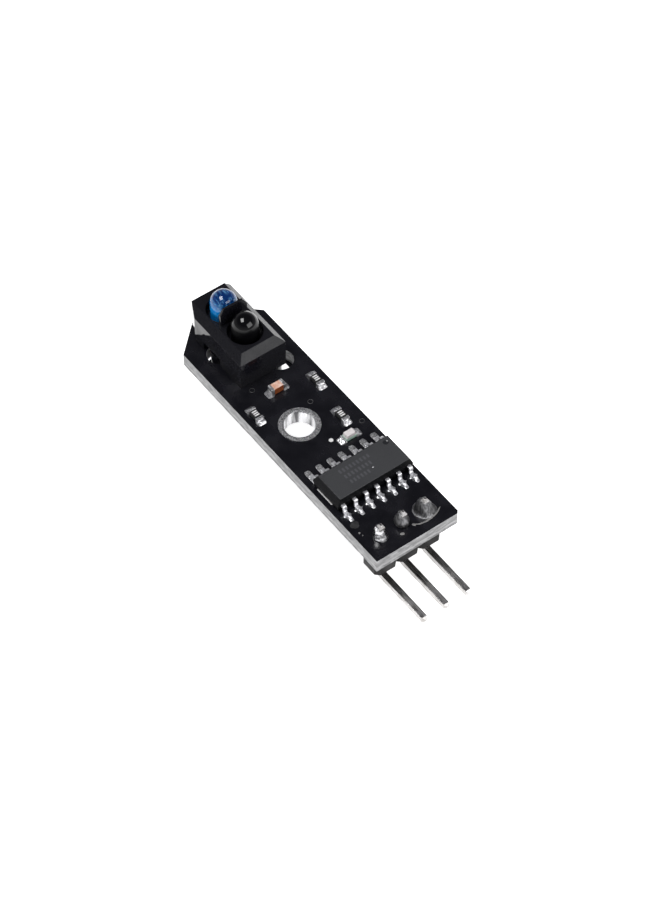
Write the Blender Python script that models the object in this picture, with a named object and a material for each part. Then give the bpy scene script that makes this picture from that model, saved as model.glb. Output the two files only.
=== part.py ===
"""Single-channel infrared line-tracking sensor module.

A narrow circuit board with a reflective infrared sensor at the -X end, a 14-lead comparator
chip, chip components and an M3 hole along its length, and a bent 3-pin header at the +X end.
The pins' undersides lie at Z = 0, and X and Y are centred on the module's bounding box.
Distances "from the pin end" run back from the board's +X end towards the sensor.
"""

import math

import bmesh
import bpy
from mathutils import Matrix, Vector

MM = 0.001
GAP = 0.02 * MM  # clearance between neighbouring solids
ROUND = 48  # sides of the larger round pieces
SMALL_ROUND = 24  # sides of solder, leads' holes and other small round pieces

# Circuit board
BOARD_LENGTH = 33.5 * MM
BOARD_WIDTH = 9.5 * MM
BOARD_THICKNESS = 1.5 * MM
BOARD_CUT_X = 2.95 * MM  # cut corners at the sensor end
BOARD_CUT_Y = 3.15 * MM
BOARD_CORNER_EASE = 0.25 * MM  # a small cut at the pin end's +Y corner

# Header
PIN_COUNT = 3
PIN_PITCH = 2.54 * MM
PIN_SIDE = 0.64 * MM
PIN_OVERHANG = 4.85 * MM  # beyond the board's end
PIN_ABOVE_BOARD = 1.7 * MM
PIN_BELOW_BOARD = 4.2 * MM  # underside of the board down to the pins' undersides
PIN_BEND_RADIUS = 0.62 * MM  # to the pin's centre line
PIN_TIP_LENGTH = 0.28 * MM
PIN_TIP_SCALE = 0.4
PIN_BEND_STEPS = 8
HEADER_FROM_END = 2.15 * MM
HEADER_Y = -0.2 * MM
HEADER_DEPTH = 2.5 * MM
HEADER_HEIGHT = 2.54 * MM
HEADER_NOTCH = 0.42 * MM  # depth of the V between two positions

# Frame: the module is centred on X and Y
PIN_END_X = (BOARD_LENGTH - PIN_OVERHANG) / 2
SENSOR_END_X = PIN_END_X - BOARD_LENGTH
BOARD_BOTTOM = PIN_BELOW_BOARD
BOARD_TOP = BOARD_BOTTOM + BOARD_THICKNESS

# Screw hole, with its plated eyelet
HOLE_FROM_END = 17.03 * MM
HOLE_Y = -0.92 * MM
HOLE_RADIUS = 1.5 * MM  # for an M3 screw
EYELET_WALL = 0.06 * MM
EYELET_FLANGE = 0.04 * MM
EYELET_RADIUS = 2.05 * MM

# Reflective sensor
SENSOR_FROM_END = 28.325 * MM
SENSOR_Y = -0.15 * MM
SENSOR_LENGTH = 8.95 * MM
SENSOR_WIDTH = 5.25 * MM
SENSOR_RIM = 3.2 * MM  # height of the upright sides
SENSOR_TOP = 3.9 * MM
SENSOR_CHAMFER_X = 0.8 * MM  # at the +X end only
SENSOR_CHAMFER_Y = 0.72 * MM
SENSOR_CORNER_X = 1.43 * MM  # the cut corner marks the emitter's end
SENSOR_CORNER_Y = 0.7 * MM
DIVIDER_X = -0.335 * MM  # from the housing's middle
DIVIDER_SHOULDER = 5.25 * MM
DIVIDER_TOP = 6.0 * MM
DIVIDER_WIDTH = 3.1 * MM
DIVIDER_TOP_WIDTH = 2.2 * MM
DIVIDER_THICKNESS = 0.3 * MM
DIVIDER_TOP_THICKNESS = 0.2 * MM
DOMES_X = -0.13 * MM  # the domes' middle, from the housing's
DOME_SPACING = 3.45 * MM
DOME_RADIUS = 1.33 * MM
DOME_CENTRE_Z = 4.8 * MM
DOME_STEPS = 12
BODY_BOTTOM = 0.45 * MM  # underside of the round body, inside its foot
RECESS_RADIUS = 1.75 * MM
RECESS_DEPTH = 0.95 * MM
CELL_X = 2.9 * MM  # the block at the foot of each optical cell
CELL_Y = 3.5 * MM
CELL_BOTTOM = 0.25 * MM
CELL_TOP = 1.25 * MM
CLIP_HOLE_RADIUS = 1.25 * MM
CLIP_HOLES = ((28.6 * MM, -1.93 * MM), (24.53 * MM, 2.37 * MM))  # from the pin end, Y
PEGS = ((28.6 * MM, -1.75 * MM, 0.95 * MM), (24.7 * MM, 1.83 * MM, 0.62 * MM))  # and radius
PEG_BELOW_BOARD = 0.4 * MM
PEG_TOP = 0.2 * MM
PEG_TAPER = 0.3 * MM
PEG_TIP_SCALE = 0.7
NOTCH_LENGTH = 2.7 * MM  # gap in the -Y side, above its clip hole
NOTCH_DEPTH = 0.6 * MM
NOTCH_TOP = 1.0 * MM

# Sensor leads and their joints under the board
LEAD_SIDE = 0.5 * MM
LEAD_SPACING_X = 5.0 * MM
LEAD_SPACING_Y = 2.54 * MM
LEAD_HOLE_RADIUS = 0.42 * MM
LEAD_BELOW_BOARD = 1.1 * MM
LEAD_JOINT_RADIUS = 0.85 * MM
LEAD_JOINT_HEIGHT = 0.75 * MM

# Every solder cone
SOLDER_STEPS = 6
SOLDER_HOLLOW = 1.8  # power of the flank's curve
SOLDER_RIM = 0.06 * MM  # width of the ring round the pin at the top

# Header solder cones on the board's top: base radius and height, from -Y to +Y
PIN_HOLE_RADIUS = 0.5 * MM
SOLDER_CONES = ((0.95 * MM, 1.25 * MM), (0.9 * MM, 1.45 * MM), (1.15 * MM, 1.5 * MM))

# Comparator chip
CHIP_FROM_END = 8.5 * MM
CHIP_Y = 0.08 * MM
CHIP_WIDTH = 3.9 * MM
CHIP_LENGTH = 8.65 * MM
CHIP_TOP = 1.65 * MM
CHIP_STANDOFF = 0.12 * MM
CHIP_DRAFT = 0.12 * MM
CHIP_PARTING = 0.2 * MM  # upright band at the leads' height
CHIP_DIMPLE_RADIUS = 0.3 * MM
CHIP_DIMPLE_DEPTH = 0.05 * MM
CHIP_DIMPLE_INSET = (0.75 * MM, 0.8 * MM)
CHIP_LEADS_PER_SIDE = 7
CHIP_PITCH = 1.27 * MM
CHIP_LEAD_WIDTH = 0.42 * MM
CHIP_LEAD_THICKNESS = 0.2 * MM
CHIP_SPAN = 6.0 * MM
CHIP_LEAD_HEIGHT = 0.85 * MM
CHIP_FOOT = 0.62 * MM
CHIP_LEAD_SHOULDER = 0.12 * MM
CHIP_LEAD_BEND = 0.16 * MM
CHIP_BEND_STEPS = 3

# Chip components: distance from the pin end and Y
CHIP_PART_LENGTH = 1.6 * MM
CHIP_PART_WIDTH = 0.8 * MM
END_CAP = 0.3 * MM
PAD_HEIGHT = 0.04 * MM
RESISTOR_HEIGHT = 0.45 * MM
CAPACITOR_HEIGHT = 0.8 * MM
RESISTORS = ((20.4 * MM, 3.5 * MM), (20.3 * MM, -3.64 * MM), (15.5 * MM, 2.8 * MM))
CAPACITOR = (21.7 * MM, -0.16 * MM)
INDICATOR = (13.1 * MM, 1.95 * MM)
INDICATOR_END = 0.2 * MM
INDICATOR_BASE_HEIGHT = 0.3 * MM
INDICATOR_LENS_HEIGHT = 0.42 * MM
INDICATOR_LENS_EDGE = 0.1 * MM  # slope round the lens's top

# Colours, linear, with roughness and metallic
BLACK_MASK = ((0.008, 0.008, 0.011), 0.25, 0.0)
BLACK_PLASTIC = ((0.012, 0.012, 0.015), 0.35, 0.0)
CHIP_PLASTIC = ((0.035, 0.037, 0.04), 0.6, 0.0)
BLUE_RESIN = ((0.0, 0.12, 0.55), 0.08, 0.0)
DARK_RESIN = ((0.004, 0.004, 0.006), 0.06, 0.0)
SOLDER = ((0.62, 0.63, 0.65), 0.28, 1.0)
PIN_METAL = ((0.45, 0.45, 0.46), 0.32, 1.0)
CERAMIC = ((0.8, 0.79, 0.76), 0.5, 0.0)
CAPACITOR_BROWN = ((0.56, 0.3, 0.16), 0.45, 0.0)
LED_BASE = ((0.35, 0.5, 0.36), 0.5, 0.0)
CLEAR_RESIN = ((0.8, 0.84, 0.8), 0.12, 0.0)


def along(from_end):
    """X of a place given by its distance back from the board's pin end."""
    return PIN_END_X - from_end


def material(name, look):
    colour, roughness, metallic = look
    made = bpy.data.materials.new(name)
    made.use_nodes = True
    shader = made.node_tree.nodes["Principled BSDF"]
    shader.inputs["Base Color"].default_value = (*colour, 1.0)
    shader.inputs["Roughness"].default_value = roughness
    shader.inputs["Metallic"].default_value = metallic
    made.diffuse_color = (*colour, 1.0)
    return made


def add_object(name, bm, place=(0.0, 0.0, 0.0), look=None):
    """Turn a bmesh into an object at a place; without a look, it is a cutter."""
    bmesh.ops.recalc_face_normals(bm, faces=bm.faces[:])
    mesh = bpy.data.meshes.new(name)
    bm.to_mesh(mesh)
    bm.free()
    mesh.shade_smooth()
    mesh.set_sharp_from_angle(angle=math.radians(32))
    made = bpy.data.objects.new(name, mesh)
    made.location = place
    bpy.context.scene.collection.objects.link(made)
    if look is None:
        made.hide_render = True
        made.display_type = "WIRE"
    else:
        mesh.materials.append(material(name + "_material", look))
    return made


def apply_boolean(target, tool, operation):
    change = target.modifiers.new(operation.title() + "_" + tool.name, "BOOLEAN")
    change.operation = operation
    change.solver = "EXACT"
    change.object = tool


def add_loft(bm, rings):
    """Skin through rings of the same number of points, closed by a cap at each end."""
    made = [[bm.verts.new(point) for point in ring] for ring in rings]
    count = len(made[0])
    for lower, upper in zip(made, made[1:]):
        for i in range(count):
            j = (i + 1) % count
            bm.faces.new((lower[i], lower[j], upper[j], upper[i]))
    bm.faces.new(made[0][::-1])
    bm.faces.new(made[-1])


def loft(rings):
    bm = bmesh.new()
    add_loft(bm, rings)
    return bm


def rectangle(half_x, half_y, z):
    return [(x, y, z) for x, y in
            ((-half_x, -half_y), (half_x, -half_y), (half_x, half_y), (-half_x, half_y))]


def block(length, width, bottom, top):
    return loft([rectangle(length / 2, width / 2, z) for z in (bottom, top)])


def circle(centre, radius, z, sides):
    turns = (2 * math.pi * i / sides for i in range(sides))
    return [(centre[0] + radius * math.cos(a), centre[1] + radius * math.sin(a), z) for a in turns]


def cylinders(places, radius, bottom, top, sides=SMALL_ROUND):
    """Upright cylinders of one radius in one mesh, as cutters for a row of holes."""
    bm = bmesh.new()
    for place in places:
        add_loft(bm, [circle(place, radius, z, sides) for z in (bottom, top)])
    return bm


def turned(profile, sides, closed):
    """Turn (radius, height) points about Z; closed joins the last point to the first."""
    bm = bmesh.new()
    points = [bm.verts.new((radius, 0.0, height)) for radius, height in profile]
    edges = [bm.edges.new(pair) for pair in zip(points, points[1:])]
    if closed:
        edges.append(bm.edges.new((points[-1], points[0])))
    bmesh.ops.spin(bm, geom=points + edges, angle=2 * math.pi, steps=sides,
                   axis=(0, 0, 1), cent=(0, 0, 0), use_merge=True)
    bmesh.ops.remove_doubles(bm, verts=bm.verts[:], dist=1e-7)
    return bm


def arc(centre, radius, start, end, steps):
    """Points (x, z) along an arc, angles in degrees."""
    turns = (math.radians(start + (end - start) * i / steps) for i in range(steps + 1))
    return [(centre[0] + radius * math.cos(a), centre[1] + radius * math.sin(a)) for a in turns]


def bar(path, width, thickness, tip_scales=(1.0, 1.0)):
    """A rectangular bar along (x, z) points, width across Y, square to the path throughout."""
    rings = []
    last = len(path) - 1
    for i, point in enumerate(path):
        before = Vector(path[max(i - 1, 0)])
        after = Vector(path[min(i + 1, last)])
        here = Vector(point)
        ahead = (after - here).normalized() if i < last else (here - before).normalized()
        behind = (here - before).normalized() if i > 0 else ahead
        tangent = (ahead + behind).normalized()
        mitre = 1.0 / max(tangent.dot(ahead), 0.5)
        scale = tip_scales[0] if i == 0 else tip_scales[1] if i == last else 1.0
        across = Vector((-tangent.y, tangent.x)) * thickness / 2 * mitre * scale
        side = width / 2 * scale
        corners = ((across, -side), (-across, -side), (-across, side), (across, side))
        rings.append([(here.x + off.x, y, here.y + off.y) for off, y in corners])
    return loft(rings)


def board():
    half = BOARD_WIDTH / 2
    outline = (
        (PIN_END_X, -half), (PIN_END_X, half - BOARD_CORNER_EASE),
        (PIN_END_X - BOARD_CORNER_EASE, half),
        (SENSOR_END_X + BOARD_CUT_X, half), (SENSOR_END_X, half - BOARD_CUT_Y),
        (SENSOR_END_X, -half + BOARD_CUT_Y), (SENSOR_END_X + BOARD_CUT_X, -half),
    )
    plate = loft([[(x, y, z) for x, y in outline] for z in (BOARD_BOTTOM, BOARD_TOP)])
    made = add_object("circuit_board", plate, look=BLACK_MASK)
    below, above = BOARD_BOTTOM - MM, BOARD_TOP + MM
    holes = (
        ("cut_screw_hole", [(along(HOLE_FROM_END), HOLE_Y)], HOLE_RADIUS + EYELET_WALL + GAP, ROUND),
        ("cut_clip_holes", [(along(d), y) for d, y in CLIP_HOLES], CLIP_HOLE_RADIUS, ROUND),
        ("cut_pin_holes", pin_places(), PIN_HOLE_RADIUS, SMALL_ROUND),
        ("cut_lead_holes", lead_places(), LEAD_HOLE_RADIUS, SMALL_ROUND),
    )
    for name, places, radius, sides in holes:
        cutter = add_object(name, cylinders(places, radius, below, above, sides))
        apply_boolean(made, cutter, "DIFFERENCE")


def eyelet():
    """Plating of the screw hole: a barrel with a thin flange on each face of the board."""
    outer = HOLE_RADIUS + EYELET_WALL
    low, high = BOARD_BOTTOM - GAP, BOARD_TOP + GAP
    profile = (
        (HOLE_RADIUS, low - EYELET_FLANGE), (EYELET_RADIUS, low - EYELET_FLANGE),
        (EYELET_RADIUS, low), (outer, low), (outer, high), (EYELET_RADIUS, high),
        (EYELET_RADIUS, high + EYELET_FLANGE), (HOLE_RADIUS, high + EYELET_FLANGE),
    )
    add_object("screw_hole_eyelet", turned(profile, ROUND, True),
               (along(HOLE_FROM_END), HOLE_Y, 0.0), SOLDER)


def pin_places():
    first = HEADER_Y - (PIN_COUNT - 1) / 2 * PIN_PITCH
    return [(along(HEADER_FROM_END), first + i * PIN_PITCH) for i in range(PIN_COUNT)]


def lead_places():
    """Emitter leads first, then the receiver's, each from -Y to +Y."""
    middle = along(SENSOR_FROM_END) + DOMES_X
    return [(middle + sx * LEAD_SPACING_X / 2, SENSOR_Y + sy * LEAD_SPACING_Y / 2)
            for sx in (-1, 1) for sy in (-1, 1)]


def header_insulator():
    """Three octagonal positions in a row, with a V between neighbours."""
    half = HEADER_DEPTH / 2
    centres = [y for _, y in pin_places()]
    right = []
    for y in centres:
        right += [(half - HEADER_NOTCH, y - PIN_PITCH / 2), (half, y - PIN_PITCH / 2 + HEADER_NOTCH),
                  (half, y + PIN_PITCH / 2 - HEADER_NOTCH)]
    right.append((half - HEADER_NOTCH, centres[-1] + PIN_PITCH / 2))
    outline = right + [(-x, y) for x, y in reversed(right)]
    top = BOARD_BOTTOM - GAP
    shape = loft([[(x, y, z) for x, y in outline] for z in (top - HEADER_HEIGHT, top)])
    made = add_object("header_insulator", shape, (along(HEADER_FROM_END), 0.0, 0.0), BLACK_PLASTIC)
    bores = bmesh.new()
    for x, y in pin_places():
        side = PIN_SIDE / 2 + GAP
        add_loft(bores, [[(x + dx, y + dy, z) for dx, dy, _ in rectangle(side, side, z)]
                         for z in (0.0, BOARD_TOP)])
    apply_boolean(made, add_object("cut_pin_bores", bores), "DIFFERENCE")


def header_pins():
    """Square pins that stand through the board, and turn towards +X below the insulator."""
    run_z = PIN_SIDE / 2
    tip_x = PIN_END_X + PIN_OVERHANG - along(HEADER_FROM_END)
    top = BOARD_TOP + PIN_ABOVE_BOARD
    radius = PIN_BEND_RADIUS
    bend = arc((radius, run_z + radius), radius, 180, 270, PIN_BEND_STEPS)
    path = [(0.0, top), (0.0, top - PIN_TIP_LENGTH / 2)] + bend
    path += [(tip_x - PIN_TIP_LENGTH, run_z), (tip_x, run_z)]
    for i, (x, y) in enumerate(pin_places()):
        shape = bar(path, PIN_SIDE, PIN_SIDE, (PIN_TIP_SCALE, PIN_TIP_SCALE))
        add_object(f"header_pin_{i + 1}", shape, (x, y, 0.0), PIN_METAL)


def solder_ring(radius, height, bore):
    """A cone of solder with hollow flanks around a bore."""
    tip = bore + SOLDER_RIM
    flank = []
    for i in range(SOLDER_STEPS + 1):
        rise = i / SOLDER_STEPS
        flank.append((tip + (radius - tip) * (1 - rise) ** SOLDER_HOLLOW, height * rise))
    return turned([(bore, 0.0)] + flank + [(bore, height)], SMALL_ROUND, True)


def header_solder():
    bore = PIN_SIDE / 2 * math.sqrt(2) + GAP
    for i, ((x, y), (radius, height)) in enumerate(zip(pin_places(), SOLDER_CONES)):
        add_object(f"header_solder_{i + 1}", solder_ring(radius, height, bore),
                   (x, y, BOARD_TOP + GAP), SOLDER)


def dome_places():
    """The two domes' middles, emitter first, from the housing's middle."""
    return [(DOMES_X + side * DOME_SPACING / 2, 0.0) for side in (-1, 1)]


def sensor_shell():
    """An upright block, chamfered round its top except at the -X end."""
    half_x, half_y = SENSOR_LENGTH / 2, SENSOR_WIDTH / 2
    top_x, top_y = half_x - SENSOR_CHAMFER_X, half_y - SENSOR_CHAMFER_Y
    top = ((-half_x, -top_y), (top_x, -top_y), (top_x, top_y), (-half_x, top_y))
    rings = [rectangle(half_x, half_y, z) for z in (GAP, SENSOR_RIM)]
    return loft(rings + [[(x, y, SENSOR_TOP) for x, y in top]])


def corner_cutter():
    """A wedge outside the cut corner at (-X, -Y)."""
    corner = Vector((-SENSOR_LENGTH / 2, -SENSOR_WIDTH / 2))
    start = corner + Vector((SENSOR_CORNER_X, 0.0))
    end = corner + Vector((0.0, SENSOR_CORNER_Y))
    spare = (end - start) / 2
    outline = (start - spare, end + spare, corner - Vector((MM, MM)))
    return loft([[(x, y, z) for x, y in outline] for z in (-MM, SENSOR_TOP + MM)])


def dome_cutter():
    """A bore for the round body, opening into a wider recess at the top."""
    floor, high = SENSOR_TOP - RECESS_DEPTH, SENSOR_TOP + MM
    bore = DOME_RADIUS + 2 * GAP
    profile = ((0.0, CELL_TOP), (bore, CELL_TOP), (bore, floor), (RECESS_RADIUS, floor),
               (RECESS_RADIUS, high), (0.0, high))
    return turned(profile, ROUND, False)


def cell_cutter():
    """Room under the housing for the feet of both cells."""
    bm = bmesh.new()
    half_x, half_y = CELL_X / 2 + GAP, CELL_Y / 2 + GAP
    for x, _ in dome_places():
        add_loft(bm, [[(x + px, py, z) for px, py, _ in rectangle(half_x, half_y, z)]
                      for z in (-MM, CELL_TOP + 2 * GAP)])
    return bm


def notch_cutter():
    x = along(CLIP_HOLES[0][0]) - along(SENSOR_FROM_END)
    return loft([[(x + px, py - SENSOR_WIDTH / 2, z)
                  for px, py, _ in rectangle(NOTCH_LENGTH / 2, NOTCH_DEPTH, z)] for z in (-MM, NOTCH_TOP)])


def divider():
    root = SENSOR_TOP - RECESS_DEPTH - DIVIDER_THICKNESS
    return loft([
        rectangle(DIVIDER_THICKNESS / 2, DIVIDER_WIDTH / 2, root),
        rectangle(DIVIDER_THICKNESS / 2, DIVIDER_WIDTH / 2, DIVIDER_SHOULDER),
        rectangle(DIVIDER_TOP_THICKNESS / 2, DIVIDER_TOP_WIDTH / 2, DIVIDER_TOP),
    ])


def pegs():
    """Locating pegs that reach down through the clip holes."""
    low = -BOARD_THICKNESS - PEG_BELOW_BOARD
    bm = bmesh.new()
    for from_end, y, radius in PEGS:
        centre = (along(from_end) - along(SENSOR_FROM_END), y - SENSOR_Y)
        levels = ((PEG_TIP_SCALE, low), (1.0, low + PEG_TAPER), (1.0, PEG_TOP))
        add_loft(bm, [circle(centre, radius * share, z, SMALL_ROUND) for share, z in levels])
    return bm


def sensor_housing():
    place = (along(SENSOR_FROM_END), SENSOR_Y, BOARD_TOP)
    made = add_object("sensor_housing", sensor_shell(), place, BLACK_PLASTIC)
    cutters = (("cut_corner", corner_cutter()), ("cut_notch", notch_cutter()), ("cut_cells", cell_cutter()))
    for name, shape in cutters:
        apply_boolean(made, add_object(name, shape, place), "DIFFERENCE")
    for i, (x, y) in enumerate(dome_places()):
        bore = add_object(f"cut_dome_{i + 1}", dome_cutter(), (place[0] + x, place[1] + y, place[2]))
        apply_boolean(made, bore, "DIFFERENCE")
    foot = (place[0] + DIVIDER_X, place[1], place[2])
    apply_boolean(made, add_object("join_divider", divider(), foot), "UNION")
    apply_boolean(made, add_object("join_pegs", pegs(), place), "UNION")


def optical_cells():
    """Emitter and receiver: a domed round body on a square foot, with its leads below."""
    cells = (("emitter_cell", BLUE_RESIN), ("receiver_cell", DARK_RESIN))
    for (name, look), (x, y) in zip(cells, dome_places()):
        place = (along(SENSOR_FROM_END) + x, SENSOR_Y + y, BOARD_TOP)
        made = add_object(name, block(CELL_X, CELL_Y, CELL_BOTTOM, CELL_TOP), place, look)
        dome = arc((0.0, DOME_CENTRE_Z), DOME_RADIUS, 0, 90, DOME_STEPS)[:-1]
        profile = [(0.0, BODY_BOTTOM), (DOME_RADIUS, BODY_BOTTOM)]
        profile += dome + [(0.0, DOME_CENTRE_Z + DOME_RADIUS)]
        body = add_object("join_" + name, turned(profile, ROUND, False), place)
        apply_boolean(made, body, "UNION")


def sensor_leads():
    names = ("emitter_lead_1", "emitter_lead_2", "receiver_lead_1", "receiver_lead_2")
    top = BOARD_TOP + CELL_BOTTOM - GAP
    bottom = BOARD_BOTTOM - LEAD_BELOW_BOARD
    bore = LEAD_SIDE / 2 * math.sqrt(2) + GAP
    for i, (name, (x, y)) in enumerate(zip(names, lead_places())):
        add_object(name, block(LEAD_SIDE, LEAD_SIDE, bottom, top), (x, y, 0.0), PIN_METAL)
        joint = solder_ring(LEAD_JOINT_RADIUS, LEAD_JOINT_HEIGHT, bore)
        bmesh.ops.rotate(joint, verts=joint.verts[:], cent=(0, 0, 0),
                         matrix=Matrix.Rotation(math.pi, 3, "X"))
        add_object(f"sensor_solder_{i + 1}", joint, (x, y, BOARD_BOTTOM - GAP), SOLDER)


def chip_body():
    half_x, half_y = CHIP_WIDTH / 2, CHIP_LENGTH / 2
    low, high = CHIP_LEAD_HEIGHT - CHIP_PARTING / 2, CHIP_LEAD_HEIGHT + CHIP_PARTING / 2
    heights = ((CHIP_DRAFT, CHIP_STANDOFF), (0.0, low), (0.0, high), (CHIP_DRAFT, CHIP_TOP))
    rings = [rectangle(half_x - inset, half_y - inset, z) for inset, z in heights]
    place = (along(CHIP_FROM_END), CHIP_Y, BOARD_TOP)
    made = add_object("comparator_chip", loft(rings), place, CHIP_PLASTIC)
    centre = (CHIP_DIMPLE_INSET[0] - half_x, half_y - CHIP_DIMPLE_INSET[1])
    dimple = cylinders([centre], CHIP_DIMPLE_RADIUS, CHIP_TOP - CHIP_DIMPLE_DEPTH, CHIP_TOP + MM)
    apply_boolean(made, add_object("cut_dimple", dimple, place), "DIFFERENCE")


def chip_leads():
    """Gull-wing leads, numbered from the dimple's corner down one side and up the other."""
    start, bend = CHIP_WIDTH / 2 + GAP, CHIP_LEAD_BEND
    foot_z = PAD_HEIGHT + CHIP_LEAD_THICKNESS / 2
    tip = CHIP_SPAN / 2
    knee = tip - CHIP_FOOT
    shoulder = start + CHIP_LEAD_SHOULDER
    path = [(start, CHIP_LEAD_HEIGHT), (shoulder, CHIP_LEAD_HEIGHT)]
    path += arc((shoulder, CHIP_LEAD_HEIGHT - bend), bend, 70, 15, CHIP_BEND_STEPS)
    path += arc((knee + GAP, foot_z + bend), bend, 195, 250, CHIP_BEND_STEPS)
    path += [(knee + 3 * GAP, foot_z), (tip, foot_z)]
    for i in range(2 * CHIP_LEADS_PER_SIDE):
        row, step = divmod(i, CHIP_LEADS_PER_SIDE)
        offset = (CHIP_LEADS_PER_SIDE - 1) / 2 - step
        side = -1 if row == 0 else 1
        shape = bar(path, CHIP_LEAD_WIDTH, CHIP_LEAD_THICKNESS)
        place = (along(CHIP_FROM_END), CHIP_Y - side * offset * CHIP_PITCH, BOARD_TOP)
        made = add_object(f"chip_lead_{i + 1:02d}", shape, place, SOLDER)
        made.rotation_euler.z = math.pi if side < 0 else 0.0


def chip_part(name, place, height, look, along_y, cap_length=END_CAP):
    """A two-terminal chip component: a body between two end caps."""
    body_length = CHIP_PART_LENGTH - 2 * cap_length - 2 * GAP
    top = PAD_HEIGHT + height
    turn = math.pi / 2 if along_y else 0.0
    x, y = along(place[0]), place[1]
    body = block(body_length, CHIP_PART_WIDTH - 2 * GAP, PAD_HEIGHT, top - GAP)
    made = add_object(name + "_body", body, (x, y, BOARD_TOP), look)
    made.rotation_euler.z = turn
    reach = (CHIP_PART_LENGTH - cap_length) / 2
    for label, side in (("a", -1), ("b", 1)):
        cap = block(cap_length, CHIP_PART_WIDTH, PAD_HEIGHT, top)
        dx, dy = (0.0, side * reach) if along_y else (side * reach, 0.0)
        end = add_object(f"{name}_end_{label}", cap, (x + dx, y + dy, BOARD_TOP), SOLDER)
        end.rotation_euler.z = turn


def indicator_led():
    """A small clear LED, its long axis across the board."""
    chip_part("indicator_led", INDICATOR, INDICATOR_BASE_HEIGHT, LED_BASE, True, INDICATOR_END)
    length = CHIP_PART_LENGTH - 2 * INDICATOR_END - 2 * GAP
    low = PAD_HEIGHT + INDICATOR_BASE_HEIGHT
    half_x, half_y = CHIP_PART_WIDTH / 2 - GAP, length / 2
    high, edge = low + INDICATOR_LENS_HEIGHT, INDICATOR_LENS_EDGE
    levels = ((0.0, low), (GAP, high - edge), (edge, high))
    rings = [rectangle(half_x - inset, half_y - inset, z) for inset, z in levels]
    place = (along(INDICATOR[0]), INDICATOR[1], BOARD_TOP)
    add_object("indicator_led_lens", loft(rings), place, CLEAR_RESIN)


def clear_scene():
    for old in list(bpy.data.objects):
        bpy.data.objects.remove(old, do_unlink=True)


def main():
    clear_scene()
    board()
    eyelet()
    header_insulator()
    header_pins()
    header_solder()
    sensor_housing()
    optical_cells()
    sensor_leads()
    chip_body()
    chip_leads()
    for i, place in enumerate(RESISTORS):
        chip_part(f"resistor_{i + 1}", place, RESISTOR_HEIGHT, CERAMIC, False)
    chip_part("capacitor", CAPACITOR, CAPACITOR_HEIGHT, CAPACITOR_BROWN, True)
    indicator_led()


main()
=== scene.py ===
"""Looks of the infrared line-tracking sensor module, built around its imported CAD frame.

Lengths are in metres unless a comment says millimetres. Places are in the frame's own axes: +X
towards the header pins, +Y across the board, +Z up from the component side. Most places come
from the CAD nodes' boxes.
"""

import math

import bmesh
import bpy
from mathutils import Matrix, Vector, noise


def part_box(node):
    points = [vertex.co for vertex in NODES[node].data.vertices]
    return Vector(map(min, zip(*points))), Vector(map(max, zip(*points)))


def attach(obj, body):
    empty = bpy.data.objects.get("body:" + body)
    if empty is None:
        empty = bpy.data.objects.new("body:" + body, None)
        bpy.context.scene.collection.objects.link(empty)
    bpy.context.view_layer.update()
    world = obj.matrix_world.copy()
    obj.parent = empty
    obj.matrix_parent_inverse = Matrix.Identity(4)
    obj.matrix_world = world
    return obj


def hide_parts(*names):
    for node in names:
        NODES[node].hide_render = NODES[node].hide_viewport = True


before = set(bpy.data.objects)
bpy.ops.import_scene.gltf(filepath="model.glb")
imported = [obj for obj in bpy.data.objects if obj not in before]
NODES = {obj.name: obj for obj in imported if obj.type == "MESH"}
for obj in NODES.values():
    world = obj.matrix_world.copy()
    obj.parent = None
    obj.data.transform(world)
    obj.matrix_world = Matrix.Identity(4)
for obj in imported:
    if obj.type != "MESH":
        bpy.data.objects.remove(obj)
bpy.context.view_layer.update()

MM = 0.001
BOARD_LOW, BOARD_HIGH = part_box("circuit_board")
TOP = BOARD_HIGH.z
BOTTOM = BOARD_LOW.z
SMOOTH_ANGLE = math.radians(38)
DIMPLE_ANGLE = math.radians(5)  # keeps the chip's flat top apart from its shallow dimple
FINE = 96  # sides of the larger turned pieces

# Camera, from the middle of the board's top
CAMERA_AIM = Vector((1.41 * MM, -0.44 * MM, TOP))
CAMERA_AZIMUTH = 53.36
CAMERA_ELEVATION = 51.57
CAMERA_DISTANCE = 297.9 * MM
CAMERA_LENS = 128.0

FLOOR_GLOW = 0.9
FLOOR_HALF = 1.5
FLOOR_GAP = 0.02 * MM
SOFTBOX_DISTANCE = 0.4

# Copper pads on the board, and the chip
PAD_THICKNESS = 0.035 * MM
CHIP_PAD_INNER = 2.2 * MM  # from the chip's middle
CHIP_PAD_OUTER = 3.5 * MM
CHIP_PAD_WIDTH = 0.62 * MM
CHIP_LEAD_THICKNESS = 0.2 * MM
CHIP_LEAD_BEND = 0.17 * MM
CHIP_FOOT = 0.62 * MM
CHIP_END_DRAFT = 0.955  # length of the top against the parting line
CHIP_BACK_DRAFT = 0.24 * MM  # how far the top's -X side leans in
CHIP_DIMPLE = (0.94, 0.97, 0.29)  # millimetres: in from the -X and +Y sides, and radius

# Chip resistors, capacitor and indicator
PART_PAD_REACH = 1.26 * MM  # from a two-terminal part's middle
PART_PAD_INNER = 0.46 * MM
PART_PAD_WIDTH = 0.98 * MM
MARK_PITCH = 0.24 * MM  # the three white bars on a resistor
MARK_HALF_X = 0.07 * MM
MARK_HALF_Y = 0.25 * MM
INDICATOR_PAD = ((-0.2, -0.28, 0.0), (0.2, 0.1, 0.03))  # millimetres from the lens's foot
INDICATOR_DIE = ((-0.09, -0.18, 0.03), (0.09, 0.0, 0.13))

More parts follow.
